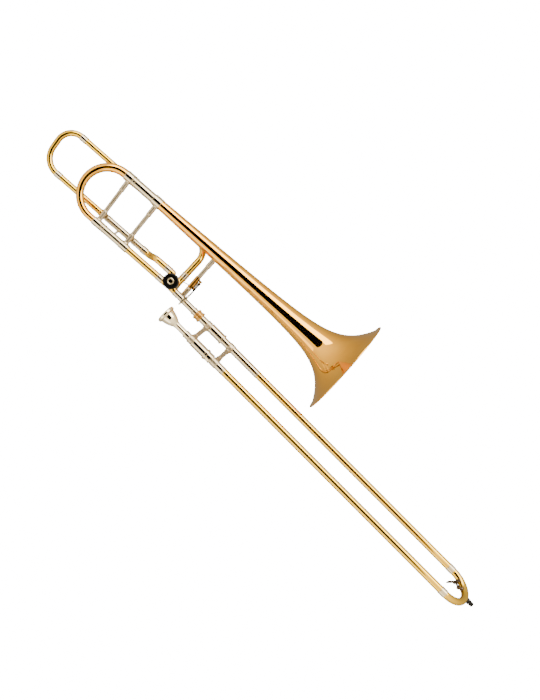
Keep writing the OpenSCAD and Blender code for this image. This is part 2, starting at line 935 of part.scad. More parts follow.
module slide_receiver() {
    color(NICKEL)
        slide_frame()
            turned([
                [tenon_d[0] / 2 + running, tenon_x[0] + 3.2],
                [thread_d / 2 - 0.4, tenon_x[0] + 3.2], [thread_d / 2, tenon_x[0] + 4],
                [thread_d / 2, nut_x[1]], [16.6 / 2, nut_x[1]], [16.6 / 2, 15],
                [inner_od / 2 + joint_gap, 15], [inner_od / 2 + joint_gap, tenon_x[1] + 0.5],
                [tenon_d[1] / 2 + running, tenon_x[1] + 0.5], [tenon_d[1] / 2 + running, tenon_x[1]]
            ]);
}

module inner_slide_brace() {
    color(NICKEL)
        slide_frame()
            difference() {
                union() {
                    brace([11, 5, 0], [11, mouth_y - 5, 0], 9.5, 11, 16);
                    both_tubes()
                        tube([5.2, 14.8], 19, 16.6 + 2 * joint_gap);
                }
                both_tubes()
                    rod([0, 20], 16.6 + 2 * joint_gap);
                both_tubes()
                    rod([barrel_x[0] - 0.9, barrel_x[1]], barrel_od + 1.2 + 2 * joint_gap);
            }
}

module cork_barrels() {
    color(NICKEL)
        slide_frame() {
            both_tubes()
                difference() {
                    union() {
                        banded([barrel_x[0], barrel_x[1]], barrel_od, inner_od + 2 * joint_gap);
                        tube([15.2, barrel_x[0]], 17.6, inner_od + 2 * joint_gap);
                    }
                    rod([barrel_x[0] + 3, barrel_x[1] + 1], barrel_od - 2 * barrel_wall);
                }
            banded([barrel_x[1] - 4, barrel_x[1]], 22.4, barrel_od + 1.2 + 2 * joint_gap, 0.3, 1);
        }
}

module barrel_corks() {
    color(CORK)
        slide_frame()
            both_tubes()
                tube([barrel_x[0] + 3.1, barrel_x[1] - 10],
                     barrel_od - 2 * barrel_wall - 2 * joint_gap, inner_od + 2 * joint_gap);
}

module mouthpiece_receiver() {
    color(NICKEL)
        slide_frame()
            translate([0, mouth_y, 0])
                turned([
                    [12.7 / 2 + running, -7], [15.4 / 2, -7], [16 / 2, -6], [16 / 2, -4],
                    [15.6 / 2, -3.4], [15.6 / 2, 4], [16.6 / 2, 5], [16.6 / 2, 15],
                    [inner_od / 2 + joint_gap, 15], [inner_od / 2 + joint_gap, 12.5],
                    [12.2 / 2 + running, 12.5]
                ]);
}

module leadpipe() {
    color(YELLOW_BRASS)
        slide_frame()
            translate([0, mouth_y, 0])
                turned([
                    [11.4 / 2, 18], [bore / 2 - joint_gap, 18], [bore / 2 - joint_gap, 215],
                    [bore / 2 - 0.4, 215], [11.8 / 2, 60]
                ]);
}

module inner_slide_tubes() {
    color(CHROME)
        slide_frame() {
            tube([tenon_x[1] + 0.7, inner_end], inner_od, bore);
            translate([0, mouth_y, 0])
                tube([12.7, inner_end], inner_od, bore);
        }
}

module slide_stockings() {
    color(CHROME)
        slide_frame()
            both_tubes()
                tube([inner_end - 125, inner_end], stocking_od, inner_od + 2 * joint_gap);
}

module slide_lock_ring() {
    collar_id = barrel_od + 1.2 + 2 * running;
    color(NICKEL)
        slide_frame()
            translate([0, mouth_y, 0])
                difference() {
                    union() {
                        turned([
                            [0, lock_x[0] - 4], [11.3, lock_x[0] - 4], [11.6, lock_x[0] - 3.4],
                            [11.6, lock_x[0] + 0.6], [11, lock_x[0] + 1.2], [9.9, lock_x[0] + 1.6],
                            [9.9, lock_x[1] - 3], [10.4, lock_x[1] - 2.4], [10.4, lock_x[1] - 0.6],
                            [9.9, lock_x[1]], [0, lock_x[1]]
                        ]);
                        translate([(lock_x[0] + lock_x[1]) / 2, 9, 0])
                            rotate([-90, 0, 0])
                                cylinder(h = 4, d1 = 5, d2 = 7);
                    }
                    rod([lock_x[0] - 5, lock_x[1] + 1], sleeve_od + 0.8);
                    rod([lock_x[0] - 5, lock_x[0] - 0.2], collar_id);
                }
}

module mouthpiece() {
    rim_r = 19.4;
    color(SILVER)
        slide_frame()
            translate([0, mouth_y, 0])
                turned([
                    [13, -62.4], [14.6, -63], [16.6, -63], [18.4, -62.2], [rim_r, -60.4], [rim_r, -57.8],
                    [18.6, -56], [16.2, -55], [15.6, -53.6], [14.9, -49], [13.6, -44.5], [11.9, -40],
                    [9.9, -36], [8, -33], [6.9, -30.6], [7.2, -30], [7.2, -29], [6.5, -28.2],
                    [12.7 / 2, -7], [12.2 / 2, 12], [5.5, 12], [3.5, -26], [3.4, -32],
                    [4.6, -35.5], [7.6, -40], [10, -45.5], [11.6, -52], [12.3, -59.5]
                ]);
}

// ---- Outer slide ----

module outer_slide_tubes() {
    color(YELLOW_BRASS)
        slide_frame()
            both_tubes()
                tube([sleeve_start + 4, slide_len - 7.5], outer_od, outer_id);
}

module outer_sleeves() {
    color(NICKEL)
        slide_frame() {
            turned_sleeve([sleeve_start, 151]);
            translate([0, mouth_y, 0])
                turned_sleeve([sleeve_start, 99.6]);
        }
}

// Sleeve over the mouth of an outer tube, with a rolled rib at its far end
module turned_sleeve(span) {
    union() {
        tube([span[0], span[1] - 3], sleeve_od, outer_od + 2 * joint_gap);
        banded([span[1] - 4, span[1]], sleeve_od, outer_od + 2 * joint_gap, 0.3, 1);
    }
}

module outer_slide_brace() {
    color(NICKEL)
        slide_frame()
            difference() {
                union() {
                    brace([74, 6, 0], [74, mouth_y - 6, 0], 9.5, 11, 18);
                    both_tubes()
                        banded([67.5, 80.5], 18.4, sleeve_od + 2 * joint_gap, 0.4, 2);
                }
                both_tubes()
                    rod([60, 90], sleeve_od + 2 * joint_gap);
            }
}

module slide_bow() {
    color(YELLOW_BRASS)
        slide_frame()
            union() {
                translate([slide_len, slide_bow_r, 0])
                    bend(slide_bow_r, outer_od, outer_id - 0.6, -90, 180);
                both_tubes()
                    tube([slide_len - 7, slide_len], outer_od, outer_id - 0.6);
            }
}

module slide_bow_ferrules() {
    color(NICKEL)
        slide_frame()
            both_tubes()
                stepped([slide_len - 15, slide_len - 0.5], 16.9, outer_od + 2 * joint_gap,
                        outer_od + 2 * joint_gap, slide_len - 7);
}

// Outer skin of the slide bow, used to cut whatever is soldered on it
module slide_bow_skin() {
    translate([slide_len, slide_bow_r, 0])
        rotate([0, 0, -90])
            rotate_extrude(angle = 180, $fn = 240)
                translate([slide_bow_r, 0])
                    circle(d = outer_od + 2 * joint_gap);
}

module bumper_socket() {
    crown = slide_len + slide_gap / 2 + outer_od / 2;
    color(BLACK)
        slide_frame()
            difference() {
                translate([0, slide_bow_r, 0])
                    turned([
                        [0, crown - 3], [6, crown - 3], [6, crown + 0.8], [5.2, crown + 1.5],
                        [2.4, crown + 1.5], [2.4, crown + 7], [0, crown + 7]
                    ]);
                slide_bow_skin();
            }
}

module slide_bumper() {
    crown = slide_len + slide_gap / 2 + outer_od / 2;
    bore_r = 2.4 + joint_gap;
    color(BLACK)
        slide_frame()
            translate([0, slide_bow_r, 0])
                turned([
                    [0, crown + 7 + joint_gap], [bore_r, crown + 7 + joint_gap],
                    [bore_r, crown + 1.5 + joint_gap], [5.2, crown + 1.5 + joint_gap],
                    [5.6, crown + 2.2], [5.6, crown + 5.2], [4.85, crown + 6.5], [4.85, crown + 12.5],
                    [4.2, crown + 14], [2.8, crown + 14.9], [0, crown + 15.2]
                ]);
}

// Places children on the slide bow at the water hole, with X pointing out from the bow's centre
module at_water_hole() {
    slide_frame()
        translate([slide_len, slide_bow_r, 0])
            rotate([0, 0, key_angle])
                children();
}

module water_key_mount() {
    color(NICKEL) {
        difference() {
            at_water_hole()
                turned([
                    [1.8, nipple_r[0]], [3.2, nipple_r[0]], [3.2, nipple_r[0] + 3],
                    [5, nipple_r[1] - 1], [5, nipple_r[1] + 2], [1.8, nipple_r[1] + 2]
                ]);
            slide_frame()
                slide_bow_skin();
        }
        slide_frame()
            difference() {
                translate([slide_len, slide_bow_r, 0])
                    rotate([0, 0, key_mount])
                        union() {
                            for (side = [-1, 1])
                                translate([key_mount_r - 3, -3, side * 4.1 - 0.8])
                                    cube([16, 6, 1.6]);
                            translate([key_mount_r + 6, -3.5, -4.9])
                                cube([8, 7, 9.8]);
                        }
                slide_bow_skin();
                translate([key_pivot[0], key_pivot[1], -10])
                    cylinder(h = 20, d = 2.2 + 2 * joint_gap);
            }
    }
}

module water_key() {
    pad = [slide_len, slide_bow_r] + key_dir * (nipple_r[0] - 3.9);
    color(NICKEL)
        slide_frame()
            difference() {
                union() {
                    translate([key_pivot[0], key_pivot[1], -3])
                        cylinder(h = 6, d = 5);
                    hull() {
                        translate([key_pivot[0], key_pivot[1], -1.5])
                            cylinder(h = 3, d = 4, $fn = 32);
                        translate([pad[0], pad[1], -1.5])
                            cylinder(h = 3, d = 3, $fn = 32);
                    }
                    hull() {
                        translate([key_pivot[0], key_pivot[1], -1.5])
                            cylinder(h = 3, d = 4, $fn = 32);
                        translate([key_tip[0], key_tip[1], -3])
                            cylinder(h = 6, d = 2.4, $fn = 32);
                    }
                    translate([slide_len, slide_bow_r, 0])
                        rotate([0, 0, key_angle])
                            tube([nipple_r[0] - 4, nipple_r[0] - 2.2], 9, 0);
                    translate([slide_len, slide_bow_r, 0])
                        rotate([0, 0, key_angle])
                            tube([nipple_r[0] - 2.4, nipple_r[0] - 1], 9, 7.8);
                }
                translate([key_pivot[0], key_pivot[1], -10])
                    cylinder(h = 20, d = 2.2 + 2 * running);
            }
}

module water_key_cork() {
    color(CORK)
        at_water_hole()
            rod([nipple_r[0] - 2.2 + joint_gap, nipple_r[0] - 0.05], 7.8 - 2 * joint_gap);
}

module water_key_spring() {
    wire = 0.7;
    color(STEEL)
        slide_frame()
            translate([key_pivot[0], key_pivot[1], 0])
                for (side = [0, 1])
                    mirror([0, 0, side])
                        translate([0, 0, 2.6])
                            rotate_extrude()
                                translate([3, 0])
                                    circle(d = wire, $fn = 16);
}

module water_key_screw() {
    color(STEEL)
        slide_frame()
            translate([key_pivot[0], key_pivot[1], 0])
                union() {
                    translate([0, 0, -5.6])
                        cylinder(h = 11.2, d = 2.2);
                    translate([0, 0, 5])
                        cylinder(h = 1.2, d = 4);
                }
}

bell();
bell_stem();
bell_rim_wire();
bell_tail_ferrule();
upper_receiver();
lower_receiver();
lower_leg();
bell_brace();
valve_brace();
valve_casing();
valve_bearing_plate();
valve_cap();
cap_vent();
valve_rotor();
stop_arm();
stop_plate();
stop_bumpers();
port_ferrules();
neckpipe();
neck_tenon();
lock_nut();
lever_saddle();
lever_pivot();
thumb_lever();
lever_spring();
link_rod();
gooseneck();
f_return_tube();
f_upper_sleeve();
f_lower_sleeve();
f_sleeve_post();
tuning_bow();
tuning_bow_ferrules();
tuning_inner_legs();
tuning_brace();
f_bow();
f_bow_ferrules();
f_slide_legs();
slide_receiver();
inner_slide_brace();
cork_barrels();
barrel_corks();
mouthpiece_receiver();
leadpipe();
inner_slide_tubes();
slide_stockings();
slide_lock_ring();
mouthpiece();
outer_slide_tubes();
outer_sleeves();
outer_slide_brace();
slide_bow();
slide_bow_ferrules();
bumper_socket();
slide_bumper();
water_key_mount();
water_key();
water_key_cork();
water_key_spring();
water_key_screw();
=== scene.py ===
"""Looks of a tenor trombone with an open-wrap F attachment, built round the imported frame."""
import json
import math
import bmesh
import bpy
from mathutils import Matrix, Vector


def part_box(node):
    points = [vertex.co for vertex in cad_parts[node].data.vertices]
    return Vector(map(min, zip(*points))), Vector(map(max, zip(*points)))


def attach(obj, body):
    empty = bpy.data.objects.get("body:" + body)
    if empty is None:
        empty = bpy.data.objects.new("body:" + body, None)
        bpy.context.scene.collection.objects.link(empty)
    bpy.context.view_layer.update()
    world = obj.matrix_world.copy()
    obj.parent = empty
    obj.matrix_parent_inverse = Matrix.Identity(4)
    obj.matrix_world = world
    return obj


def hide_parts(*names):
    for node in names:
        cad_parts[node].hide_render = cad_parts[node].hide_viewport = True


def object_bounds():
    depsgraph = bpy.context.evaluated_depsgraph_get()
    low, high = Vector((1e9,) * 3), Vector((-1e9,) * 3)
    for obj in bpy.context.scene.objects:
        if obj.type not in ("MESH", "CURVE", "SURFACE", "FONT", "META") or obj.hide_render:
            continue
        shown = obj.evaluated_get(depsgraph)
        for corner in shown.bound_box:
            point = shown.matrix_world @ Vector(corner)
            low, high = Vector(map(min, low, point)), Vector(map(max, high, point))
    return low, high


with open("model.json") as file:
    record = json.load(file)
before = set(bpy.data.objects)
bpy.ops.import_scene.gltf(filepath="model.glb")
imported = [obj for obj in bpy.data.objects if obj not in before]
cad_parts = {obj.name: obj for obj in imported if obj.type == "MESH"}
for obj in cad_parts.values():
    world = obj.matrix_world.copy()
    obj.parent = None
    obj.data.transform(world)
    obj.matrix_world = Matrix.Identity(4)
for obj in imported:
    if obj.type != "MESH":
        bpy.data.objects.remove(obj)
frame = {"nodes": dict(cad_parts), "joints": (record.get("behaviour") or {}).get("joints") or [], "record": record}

cad_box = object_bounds()

# ---- The frame: axes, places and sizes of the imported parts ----

MM = 0.001
TAU = 2 * math.pi
NODES = frame["nodes"]
RECORD = frame["record"]
JOINTS = {joint["name"]: joint for joint in frame["joints"]}
MOUNTS = {mount["name"]: mount for mount in RECORD["mounts"]}
SLOT = {part["node"]: part["material_slot"] for part in RECORD["subparts"]}
BODY = {node: body for body, nodes in RECORD["behaviour"]["bodies"].items() for node in nodes}


def at(x=0.0, y=0.0, z=0.0):
    """A frame moved from the row's origin, with the row's axes."""
    return Matrix.Translation((x, y, z))


def middle(node):
    """The centre of a node's box."""
    low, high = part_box(node)
    return (low + high) / 2


def along(node):
    """A frame on the axis of a node that runs along X."""
    centre = middle(node)
    return at(0, centre.y, centre.z)


def slide_frame():
    """The frame of the hand slide: X along it, Y from the lower tube to the mouthpiece tube."""
    run = Vector(JOINTS["hand_slide_travel"]["axis"]).normalized()
    rim = Vector(MOUNTS["mouthpiece_rim"]["pos_m"])
    across = rim - run * rim.dot(run)
    gap = across.length
    across.normalize()
    turned = Matrix((run, across, run.cross(across))).transposed().to_4x4()
    return turned, gap


LOWER, GAP = slide_frame()
UPPER = LOWER @ at(0, GAP, 0)
CENTRE = LOWER @ at(0, GAP / 2, 0)
BELL = along("bell")
LOW_LEG = along("lower_leg")
F_UPPER = along("f_upper_sleeve")
F_LOWER = along("f_lower_sleeve")
VALVE = at(*JOINTS["rotor_turn"]["pos_m"])
NECK = LOWER

# ---- Mesh building ----

WELD = 1e-6  # Points closer than this are one point
NEARLY_FLAT = 1e-3  # Sine of a turn too small to keep a point for
HOLD_RUN, HOLD_STEP = 1.5 * MM, 0.25 * MM  # Runs this long get a point this near each end


class Shape:
    """Collects the skins of one piece, and makes it a Blender object."""

    def __init__(self):
        self.verts = []
        self.faces = []

    def grid(self, rings, loop=False):
        """Skins a list of rings of points. loop joins the last ring to the first."""
        base = len(self.verts)
        width = len(rings[0])
        for ring in rings:
            self.verts.extend(ring)
        rows = len(rings) if loop else len(rings) - 1
        for k in range(rows):
            a = base + k * width
            b = base + (k + 1) % len(rings) * width
            for i in range(width):
                j = (i + 1) % width
                self.faces.append((a + i, a + j, b + j, b + i))

    def lathe(self, place, outline, steps=72, wave=None):
        """Turns an outline of (x, radius) points about a frame's X axis. wave adds to radii."""
        whole = outline[0][1] > WELD and outline[-1][1] > WELD
        rings = []
        for x, radius in held(outline, whole):
            ring = []
            for i in range(steps):
                angle = TAU * i / steps
                r = radius + (wave(x, angle) if wave else 0.0)
                ring.append(place @ Vector((x, r * math.cos(angle), r * math.sin(angle))))
            rings.append(ring)
        self.grid(rings, loop=whole)

    def sweep(self, path, radius, wall, sides=48):
        """Sweeps a tube along a path. radius is a number or a function of the way along, 0 to 1."""
        size = radius if callable(radius) else lambda t: radius
        frames = path_frames(path)
        last = len(path) - 1

        def ring(k, inset):
            side, up = frames[k]
            r = size(k / last) - inset
            turns = [TAU * i / sides for i in range(sides)]
            return [path[k] + side * (r * math.cos(a)) + up * (r * math.sin(a)) for a in turns]

        rings = [ring(k, 0.0) for k in range(last + 1)]
        rings += [ring(k, wall) for k in range(last, -1, -1)]
        self.grid(rings, loop=True)

    def make(self, name, node, material, *others, sharp=40):
        """Makes the piece, in place of its CAD node or nodes."""
        mesh = bpy.data.meshes.new(name)
        mesh.from_pydata([tuple(v) for v in self.verts], [], self.faces)
        mesh.validate()
        mesh.polygons.foreach_set("use_smooth", [True] * len(mesh.polygons))
        piece = bpy.data.objects.new(name, mesh)
        bpy.context.scene.collection.objects.link(piece)
        weld = piece.modifiers.new("weld", "WELD")
        weld.merge_threshold = WELD
        settle(piece)
        mesh = piece.data
        mesh.set_sharp_from_angle(angle=math.radians(sharp))
        mesh.materials.append(material)
        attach(piece, BODY[node])
        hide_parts(node, *others)
        return piece


def held(outline, whole):
    """Adds a point close to each end of a long straight run, so that its shading stays straight."""
    made = []
    for k, point in enumerate(outline):
        made.append(point)
        if k + 1 == len(outline) and not whole:
            break
        a, b = Vector(point), Vector(outline[(k + 1) % len(outline)])
        run = b - a
        if run.length > HOLD_RUN:
            step = run.normalized() * HOLD_STEP
            made += [tuple(a + step), tuple(b - step)]
    return made


def settle(piece):
    """Applies a piece's modifiers to its mesh and turns its faces outward."""
    graph = bpy.context.evaluated_depsgraph_get()
    mesh = bpy.data.meshes.new_from_object(piece.evaluated_get(graph))
    piece.modifiers.clear()
    made = bmesh.new()
    made.from_mesh(mesh)
    bmesh.ops.recalc_face_normals(made, faces=made.faces)
    made.to_mesh(mesh)
    made.free()
    piece.data = mesh


def path_frames(path):
    """For each point of a path, two normals that turn as little as they can."""
    frames = []
    side = None
    for k, point in enumerate(path):
        ahead = path[min(k + 1, len(path) - 1)] - path[max(k - 1, 0)]
        ahead.normalize()
        if side is None:
            side = ahead.orthogonal().normalized()
        side = (side - ahead * side.dot(ahead)).normalized()
        frames.append((side, ahead.cross(side)))
    return frames


def arc(place, centre, radius, start, end, steps):
    """Points round an arc in a frame's XY plane, in degrees."""
    points = []
    for k in range(steps + 1):
        angle = math.radians(start + (end - start) * k / steps)
        points.append(place @ Vector((
            centre[0] + radius * math.cos(angle), centre[1] + radius * math.sin(angle), 0)))
    return points


def curve_through(points, steps=8):
    """A smooth curve through points."""
    made = []
    for k in range(len(points) - 1):
        a = points[max(k - 1, 0)]
        b, c = points[k], points[k + 1]
        d = points[min(k + 2, len(points) - 1)]
        for i in range(steps):
            t = i / steps
            made.append(0.5 * (2 * b + (c - a) * t + (2 * a - 5 * b + 4 * c - d) * t * t
                               + (3 * b - a - 3 * c + d) * t * t * t))
    made.append(points[-1])
    return made


def soften(outline, radius, whole=True, parts=3):
    """Rounds the corners of an outline of (x, radius) points."""
    made = []
    count = len(outline)
    for k, (x, r) in enumerate(outline):
        if not whole and k in (0, count - 1):
            made.append((x, r))
            continue
        corner = Vector((x, r))
        before = Vector(outline[k - 1]) - corner
        after = Vector(outline[(k + 1) % count]) - corner
        cut = min(radius, before.length * 0.45, after.length * 0.45)
        a = corner + before.normalized() * cut
        b = corner + after.normalized() * cut
        for i in range(parts + 1):
            t = i / parts
            p = a * (1 - t) ** 2 + corner * (2 * t * (1 - t)) + b * t * t
            made.append((p.x, p.y))
    return made


def bead(x, radius, size, width, parts=8):
    """Half-round bead that stands out from a radius, as outline points."""
    turns = [math.pi * i / parts for i in range(parts + 1)]
    return [(x - width / 2 * math.cos(a), radius + size * math.sin(a)) for a in turns]


def sleeve_outline(start, end, outer, inner, beads=(), edge=0.25 * MM):
    """Outline of a sleeve that carries beads, each given as (x, size, width)."""
    points = [(start, inner), (start, outer - edge), (start + edge, outer)]
    for x, size, width in sorted(beads):
        points += bead(x, outer, size, width)
    points += [(end - edge, outer), (end, outer - edge), (end, inner)]
    return points

# ---- Materials ----


class Paint:
    """A material being built, with short calls for its nodes."""

    def __init__(self, name, **sockets):
        self.material = bpy.data.materials.new(name)
        self.material.use_nodes = True
        self.nodes = self.material.node_tree.nodes
        self.links = self.material.node_tree.links
        self.shader = self.nodes["Principled BSDF"]
        for socket, value in sockets.items():
            self.shader.inputs[socket.replace("_", " ")].default_value = value

    def node(self, kind, **settings):
        made = self.nodes.new(kind)
        for key, value in settings.items():
            if key in made.inputs:
                made.inputs[key].default_value = value
            else:
                setattr(made, key, value)
        return made

    def place(self, scale=(1, 1, 1), turn=(0, 0, 0)):
        """Object coordinates, stretched and turned."""
        source = self.node("ShaderNodeTexCoord")
        mapping = self.node("ShaderNodeMapping", Scale=scale, Rotation=turn)
        self.links.new(source.outputs["Object"], mapping.inputs["Vector"])
        return mapping.outputs["Vector"]

    def noise(self, where, scale, detail=4.0, rough=0.55):
        made = self.node("ShaderNodeTexNoise", Scale=scale, Detail=detail, Roughness=rough)
        self.links.new(where, made.inputs["Vector"])
        return made.outputs["Fac"]

    def spread(self, value, low, high, start=0.3, end=0.7):
        """Maps a noise to a range."""
        made = self.node("ShaderNodeMapRange")
        limits = {"From Min": start, "From Max": end, "To Min": low, "To Max": high}
        for name, number in limits.items():
            made.inputs[name].default_value = number
        self.links.new(value, made.inputs["Value"])
        return made.outputs["Result"]

    def blend(self, factor, a, b):
        """Mixes two colours, each a colour or the output of a node."""
        made = self.node("ShaderNodeMix", data_type="RGBA")
        self.links.new(factor, made.inputs["Factor"])
        for socket, colour in ((made.inputs[6], a), (made.inputs[7], b)):
            if isinstance(colour, tuple):
                socket.default_value = (*colour, 1.0)
            else:
                self.links.new(colour, socket)
        return made.outputs[2]

    def use(self, socket, output):
        self.links.new(output, self.shader.inputs[socket])

    def bump(self, height, strength, distance, below=None):
        made = self.node("ShaderNodeBump", Strength=strength, Distance=distance)
        self.links.new(height, made.inputs["Height"])
        if below:
            self.links.new(below, made.inputs["Normal"])
        return made.outputs["Normal"]


SLIDE_TURN = math.atan2(LOWER[1][0], LOWER[0][0])


def polished(name, light, deep, rough, coat=0.0, streak=0.35):
    """Polished metal: slow tint changes, fine lengthwise marks and faint handling smudges."""
    paint = Paint(name, Metallic=1.0, Coat_Weight=coat, Coat_Roughness=0.04, Coat_IOR=1.5)
    broad = paint.noise(paint.place((9, 9, 9)), 3.0, 3.0)
    fine = paint.noise(paint.place((160, 160, 160)), 2.0, 6.0, 0.6)
    tone = paint.blend(paint.spread(broad, 0.0, 1.0), light, deep)
    speck = tuple(c * 0.82 for c in deep)
    paint.use("Base Color", paint.blend(paint.spread(fine, 0.0, 0.35, 0.55, 0.8), tone, speck))
    lengthwise = paint.place((60, 1500, 1500), (0, 0, -SLIDE_TURN))
    marks = paint.noise(lengthwise, 1.0, 5.0, 0.7)
    smudge = paint.noise(paint.place((45, 45, 45)), 1.6, 5.0, 0.65)
    base = paint.spread(marks, rough * (1 - streak), rough * (1 + streak))
    lift = paint.spread(smudge, 0.0, rough * 0.6, 0.45, 0.75)
    total = paint.node("ShaderNodeMath", operation="ADD")
    paint.links.new(base, total.inputs[0])
    paint.links.new(lift, total.inputs[1])
    paint.use("Roughness", total.outputs[0])
    paint.use("Normal", paint.bump(smudge, 0.02, 0.00002))
    return paint.material


def rubbery(name, light, deep, rough, grain):
    """Matt moulded rubber with a fine grain."""
    paint = Paint(name, Specular_IOR_Level=0.12)
    broad = paint.noise(paint.place((60, 60, 60)), 2.0)
    paint.use("Base Color", paint.blend(paint.spread(broad, 0.0, 1.0), light, deep))
    fine = paint.noise(paint.place((900, 900, 900)), 1.0, 4.0)
    paint.use("Roughness", paint.spread(fine, rough * 0.85, rough * 1.1))
    paint.use("Normal", paint.bump(fine, grain, 0.00015))
    return paint.material


def corky(name):
    """Pressed cork: pale granules between dark ones."""
    paint = Paint(name, Roughness=0.85, Specular_IOR_Level=0.2)
    cells = paint.node("ShaderNodeTexVoronoi", Scale=1.0)
    paint.links.new(paint.place((1100, 1100, 1100)), cells.inputs["Vector"])
    granule = paint.blend(paint.spread(cells.outputs["Distance"], 0.0, 1.0, 0.1, 0.8),
                          (0.50, 0.31, 0.16), (0.16, 0.08, 0.04))
    paint.use("Base Color", granule)
    paint.use("Normal", paint.bump(cells.outputs["Distance"], 0.4, 0.0002))
    return paint.material


GOLD_BRASS = polished("gold_brass", (0.90, 0.46, 0.055), (0.84, 0.40, 0.04), 0.04)
YELLOW_BRASS = polished("yellow_brass", (0.80, 0.50, 0.055), (0.72, 0.43, 0.04), 0.035)
NICKEL = polished("nickel_silver", (0.64, 0.54, 0.38), (0.56, 0.47, 0.32), 0.05)
SATIN_NICKEL = polished("satin_nickel", (0.56, 0.47, 0.34), (0.49, 0.41, 0.29), 0.30)
GOLD_TRIM = polished("gold_trim", (0.56, 0.28, 0.05), (0.46, 0.22, 0.035), 0.16, coat=0.3)
SILVER = polished("silver_plate", (0.93, 0.82, 0.60), (0.86, 0.75, 0.54), 0.06)
CHROME = polished("chrome", (0.80, 0.76, 0.68), (0.74, 0.70, 0.62), 0.06)
STEEL = polished("steel", (0.50, 0.50, 0.51), (0.38, 0.38, 0.39), 0.24, streak=0.5)
# Nickel painted dark brown as painted shade, for the shade that falls on the water key inside the bow.
PAINTED_SHADE_NICKEL = polished("painted_shade_nickel", (0.14, 0.10, 0.07), (0.07, 0.05, 0.035), 0.30,
                     streak=0.5)
BLACK_CAP = polished("black_cap", (0.0012, 0.0012, 0.0013), (0.002, 0.002, 0.0022), 0.16)
lacquer = BLACK_CAP.node_tree.nodes["Principled BSDF"]
lacquer.inputs["Metallic"].default_value = 0.0
lacquer.inputs["Specular IOR Level"].default_value = 0.25
RUBBER = rubbery("black_rubber", (0.0035, 0.0035, 0.0035), (0.006, 0.006, 0.006), 0.6, 0.3)
CORK = corky("cork")

# ---- Remaking CAD nodes with fine, rounded skins ----


class Turned:
    """The profile of one turned solid of a CAD node, as a loop of (x, radius)."""

    def __init__(self, mesh, verts, place):
        back = place.inverted()
        keys = {}
        for index in verts:
            p = back @ mesh.vertices[index].co
            keys[index] = (round(p.x, 5), round(math.hypot(p.y, p.z), 5))
        near = {}
        for edge in mesh.edges:
            a, b = edge.vertices
            if a in keys and keys[a] != keys[b]:
                near.setdefault(keys[a], set()).add(keys[b])
                near.setdefault(keys[b], set()).add(keys[a])
        ends = [key for key in near if len(near[key]) == 1]
        first = ends[0] if ends else min(near)
        loop = [first]
        while True:
            ahead = [key for key in near[loop[-1]] if key not in loop]
            if not ahead:
                break
            loop.append(min(ahead, key=lambda k: math.dist(k, loop[-1])))
        if ends:
            loop = [(loop[0][0], 0.0)] + loop + [(loop[-1][0], 0.0)]
        self.loop = loop
        self.place = place
        self.solid = bool(ends)


def solids(node):
    """The vertex sets of a node's separate solids."""
    mesh = NODES[node].data
    parent = {}
    same = {}

    def root(k):
        while parent[k] != k:
            parent[k] = parent[parent[k]]
            k = parent[k]
        return k

    for vertex in mesh.vertices:
        parent[vertex.index] = vertex.index
        spot = tuple(round(c, 6) for c in vertex.co)
        if spot in same:
            parent[vertex.index] = root(same[spot])
        same[spot] = vertex.index
    for edge in mesh.edges:
        parent[root(edge.vertices[0])] = root(edge.vertices[1])
    groups = {}
    for vertex in mesh.vertices:
        groups.setdefault(root(vertex.index), []).append(vertex.index)
    return list(groups.values())


def off_axis(mesh, verts, place):
    """How far the middle of some vertices is from a frame's X axis."""
    back = place.inverted()
    spots = [back @ mesh.vertices[i].co for i in verts]
    y = (min(p.y for p in spots) + max(p.y for p in spots)) / 2
    z = (min(p.z for p in spots) + max(p.z for p in spots)) / 2
    return math.hypot(y, z)


def turned_parts(node, *places):
    """The turned solids of a node, each read about the nearest of some axes."""
    mesh = NODES[node].data
    parts = []
    for verts in solids(node):
        place = min(places, key=lambda p: off_axis(mesh, verts, p))
        parts.append(Turned(mesh, verts, place))
    return parts


def tidy_loop(loop):
    """Drops the points of a profile that lie on a straight line between their neighbours."""
    kept = []
    for k, point in enumerate(loop):
        a, b = Vector(loop[k - 1]), Vector(loop[(k + 1) % len(loop)])
        here = Vector(point)
        u, v = here - a, b - here
        if u.length < 1e-7:
            continue
        turn = abs(u.x * v.y - u.y * v.x)
        if turn > NEARLY_FLAT * u.length * v.length or point[1] == 0.0:
            kept.append(point)
    return kept


def remake(name, node, material, *places, edge=0.3 * MM, steps=72):
    """Remakes a turned node with rounded edges, in place of the CAD node."""
    shape = Shape()
    for part in turned_parts(node, *places):
        outline = tidy_loop(part.loop)
        shape.lathe(part.place, soften(outline, edge, whole=not part.solid), steps)
    return shape.make(name, node, material)


def cut(piece, *shapes):
    """Takes shapes out of a piece."""
    cutters = []
    for k, shape in enumerate(shapes):
        mesh = bpy.data.meshes.new("cutter")
        mesh.from_pydata([tuple(v) for v in shape.verts], [], shape.faces)
        tool = bpy.data.objects.new("cutter", mesh)
        bpy.context.scene.collection.objects.link(tool)
        weld = tool.modifiers.new("weld", "WELD")
        weld.merge_threshold = WELD
        settle(tool)
        difference = piece.modifiers.new("cut", "BOOLEAN")
        difference.operation = "DIFFERENCE"
        difference.solver = "EXACT"
        difference.object = tool
        cutters.append(tool)
    material = piece.data.materials[0]
    settle(piece)
    piece.data.set_sharp_from_angle(angle=math.radians(35))
    if not piece.data.materials:
        piece.data.materials.append(material)
    for tool in cutters:
        bpy.data.objects.remove(tool)
    return piece


def bar(place, start, end, radius):
    """A plain round cutter along a frame's X axis."""
    shape = Shape()
    shape.lathe(place, [(start, 0.0), (start, radius), (end, radius), (end, 0.0)])
    return shape


def between(a, b):
    """A frame at a, with X towards b, and the distance."""
    run = (b - a).normalized()
    side = run.cross(Vector((0, 0, 1)))
    if side.length < 1e-3:
        side = Vector((0, 1, 0))
    side = (side - run * side.dot(run)).normalized()
    turned = Matrix((run, side, run.cross(side))).transposed().to_4x4()
    return Matrix.Translation(a) @ turned, (b - a).length


